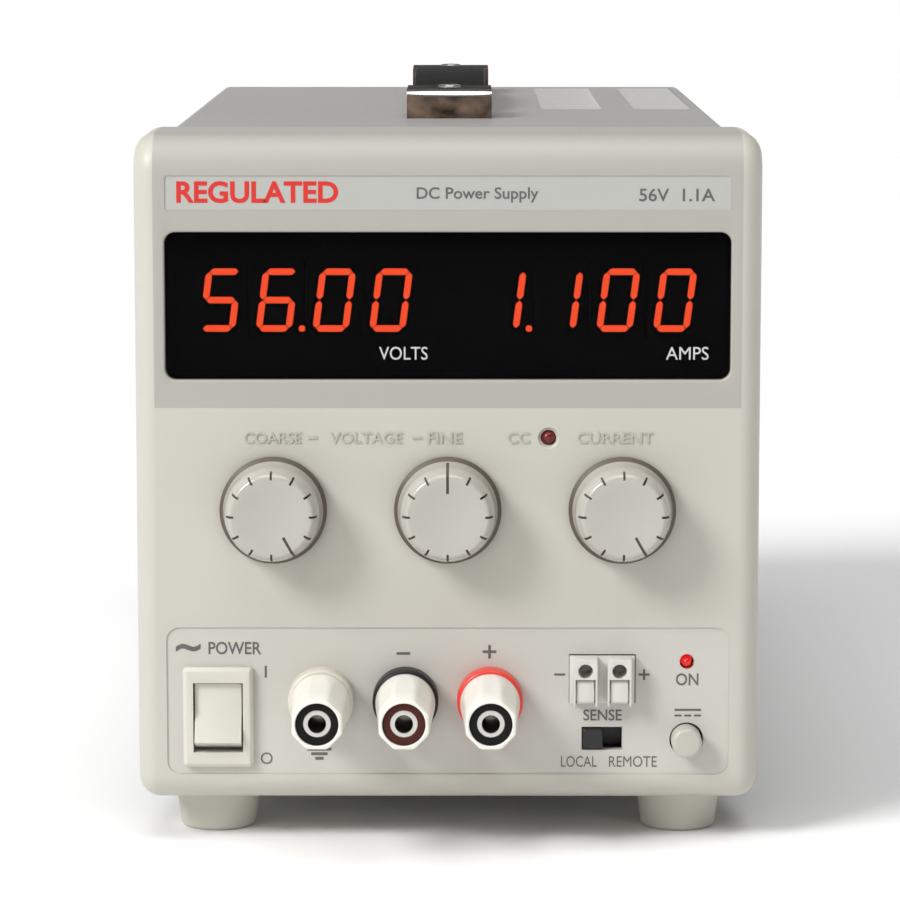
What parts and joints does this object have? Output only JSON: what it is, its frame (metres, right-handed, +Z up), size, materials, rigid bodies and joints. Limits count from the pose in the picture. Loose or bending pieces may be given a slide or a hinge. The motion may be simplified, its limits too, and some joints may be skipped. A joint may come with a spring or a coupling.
{
  "type": "bench power supply",
  "caption": "Bench power supply with a lit voltage and current display, rotary knobs, a rocker switch, binding posts, a folded steel case, a strap handle and a rear heatsink.",
  "frame": {"origin": "on the table, under the middle of the bounding box", "axes": "+X to the user's right, +Y to the back of the case, +Z up"},
  "size_m": [0.14, 0.326, 0.1671],
  "materials": {
    "bezel_plastic": "fine spark texture, warm light grey",
    "strip_film": "printed film, satin",
    "overlay_film": "printed polyester film, satin",
    "window_acrylic": "smoked acrylic, gloss",
    "digit_plastic": "black face",
    "led_light": "lit orange red",
    "board_green": "solder mask",
    "plated_steel": "zinc plated",
    "led_lens": "red diffused lens",
    "knob_plastic": "satin, warm light grey",
    "switch_plastic": "satin",
    "rocker_plastic": "satin",
    "socket_metal": "nickel plated brass",
    "collar_cream": "satin",
    "collar_black": "satin",
    "collar_red": "satin",
    "bush_black": "satin",
    "bush_brown": "satin",
    "cap_white": "satin",
    "terminal_plastic": "satin",
    "slide_black": "fine texture",
    "button_plastic": "satin",
    "cover_paint": "fine powder coat, mid grey",
    "strap_vinyl": "satin black vinyl over a spring strip",
    "cap_chrome": "bright plated",
    "foot_plastic": "light grey",
    "screw_steel": "zinc plated",
    "heatsink_black": "black anodised",
    "inlet_black": "moulded thermoplastic",
    "pin_metal": "nickel plated",
    "winding_tape": "copper winding under yellow tape",
    "capacitor_sleeve": "dark blue sleeve",
    "component_black": "moulded",
    "ribbon_grey": "flat cable"
  },
  "bodies": {
    "root": {"front_bezel": "bezel_plastic", "title_strip": "strip_film", "control_overlay": "overlay_film", "display_window": "window_acrylic", "digit_modules": "digit_plastic", "lit_segments": "led_light", "display_board": "board_green", "front_subpanel": "plated_steel", "control_board": "board_green", "pot_bodies": "plated_steel", "pot_nuts": "plated_steel", "cc_led": "led_lens", "output_led": "led_lens", "power_switch_frame": "switch_plastic", "post_sockets": "socket_metal", "post_rear_nuts": "socket_metal", "earth_collar": "collar_cream", "negative_collar": "collar_black", "positive_collar": "collar_red", "sense_terminal_block": "terminal_plastic", "sense_switch_case": "slide_black", "output_switch_case": "slide_black", "chassis_tray": "plated_steel", "rear_panel": "plated_steel", "top_cover": "cover_paint", "handle_strap": "strap_vinyl", "handle_end_caps": "cap_chrome", "feet": "foot_plastic", "case_screws": "screw_steel", "heatsink": "heatsink_black", "power_transistors": "slide_black", "mains_inlet": "inlet_black", "inlet_pins": "pin_metal", "transformer_winding": "winding_tape", "transformer_clamp_washer": "plated_steel", "transformer_bolt": "screw_steel", "board_spacers": "pin_metal", "main_board": "board_green", "smoothing_capacitors": "capacitor_sleeve", "board_components": "component_black", "display_ribbon": "ribbon_grey"},
    "coarse_knob": {"coarse_knob": "knob_plastic", "coarse_spindle": "plated_steel"},
    "fine_knob": {"fine_knob": "knob_plastic", "fine_spindle": "plated_steel"},
    "current_knob": {"current_knob": "knob_plastic", "current_spindle": "plated_steel"},
    "power_rocker": {"power_rocker": "rocker_plastic"},
    "sense_slider": {"sense_slider": "slide_black"},
    "output_button": {"output_button": "button_plastic"},
    "minus_lever": {"minus_lever": "terminal_plastic"},
    "plus_lever": {"plus_lever": "terminal_plastic"},
    "fuse_drawer": {"fuse_drawer": "inlet_black"},
    "earth_clamp_bush": {"earth_clamp_bush": "bush_black"},
    "earth_cap": {"earth_cap": "cap_white"},
    "negative_clamp_bush": {"negative_clamp_bush": "bush_brown"},
    "negative_cap": {"negative_cap": "cap_white"},
    "positive_clamp_bush": {"positive_clamp_bush": "bush_black"},
    "positive_cap": {"positive_cap": "cap_white"}
  },
  "joints": [
    {"name": "coarse_turn", "type": "hinge", "parent": "root", "child": "coarse_knob", "pos_m": [-0.039, -0.135, 0.0762], "axis": [0, 1, 0], "range_deg": [-300, 0]},
    {"name": "fine_turn", "type": "hinge", "parent": "root", "child": "fine_knob", "pos_m": [0, -0.135, 0.0762], "axis": [0, 1, 0], "range_deg": [-150, 150]},
    {"name": "current_turn", "type": "hinge", "parent": "root", "child": "current_knob", "pos_m": [0.039, -0.135, 0.0762], "axis": [0, 1, 0], "range_deg": [-300, 0]},
    {"name": "power_rock", "type": "hinge", "parent": "root", "child": "power_rocker", "pos_m": [-0.0517, -0.1318, 0.029], "axis": [1, 0, 0], "range_deg": [0, 24]},
    {"name": "sense_slide", "type": "slide", "parent": "root", "child": "sense_slider", "axis": [1, 0, 0], "range_m": [0, 0.004]},
    {"name": "output_press", "type": "slide", "parent": "root", "child": "output_button", "axis": [0, 1, 0], "range_m": [0, 0.003], "stiffness_N_per_m": 300, "springref_m": -0.001},
    {"name": "minus_press", "type": "hinge", "parent": "root", "child": "minus_lever", "pos_m": [0.03089, -0.1381, 0.03365], "axis": [-1, 0, 0], "range_deg": [0, 15], "stiffness_Nm_per_rad": 0.02, "springref_deg": -5.73},
    {"name": "plus_press", "type": "hinge", "parent": "root", "child": "plus_lever", "pos_m": [0.03851, -0.1381, 0.03365], "axis": [-1, 0, 0], "range_deg": [0, 15], "stiffness_Nm_per_rad": 0.02, "springref_deg": -5.73},
    {"name": "fuse_pull", "type": "slide", "parent": "root", "child": "fuse_drawer", "axis": [0, 1, 0], "range_m": [0, 0.018]},
    {"name": "earth_lift", "type": "slide", "parent": "root", "child": "earth_clamp_bush", "axis": [0, -1, 0], "range_m": [0, 0.005]},
    {"name": "earth_unscrew", "type": "hinge", "parent": "earth_clamp_bush", "child": "earth_cap", "pos_m": [-0.0285, -0.15, 0.033], "axis": [0, -1, 0], "range_deg": [0, 1800]},
    {"name": "negative_lift", "type": "slide", "parent": "root", "child": "negative_clamp_bush", "axis": [0, -1, 0], "range_m": [0, 0.005]},
    {"name": "negative_unscrew", "type": "hinge", "parent": "negative_clamp_bush", "child": "negative_cap", "pos_m": [-0.0095, -0.15, 0.033], "axis": [0, -1, 0], "range_deg": [0, 1800]},
    {"name": "positive_lift", "type": "slide", "parent": "root", "child": "positive_clamp_bush", "axis": [0, -1, 0], "range_m": [0, 0.005]},
    {"name": "positive_unscrew", "type": "hinge", "parent": "positive_clamp_bush", "child": "positive_cap", "pos_m": [0.0095, -0.15, 0.033], "axis": [0, -1, 0], "range_deg": [0, 1800]}
  ],
  "couplings": [
    {"joint": "earth_unscrew", "follows": "earth_lift", "rad_per_m": 6283.2},
    {"joint": "negative_unscrew", "follows": "negative_lift", "rad_per_m": 6283.2},
    {"joint": "positive_unscrew", "follows": "positive_lift", "rad_per_m": 6283.2}
  ]
}
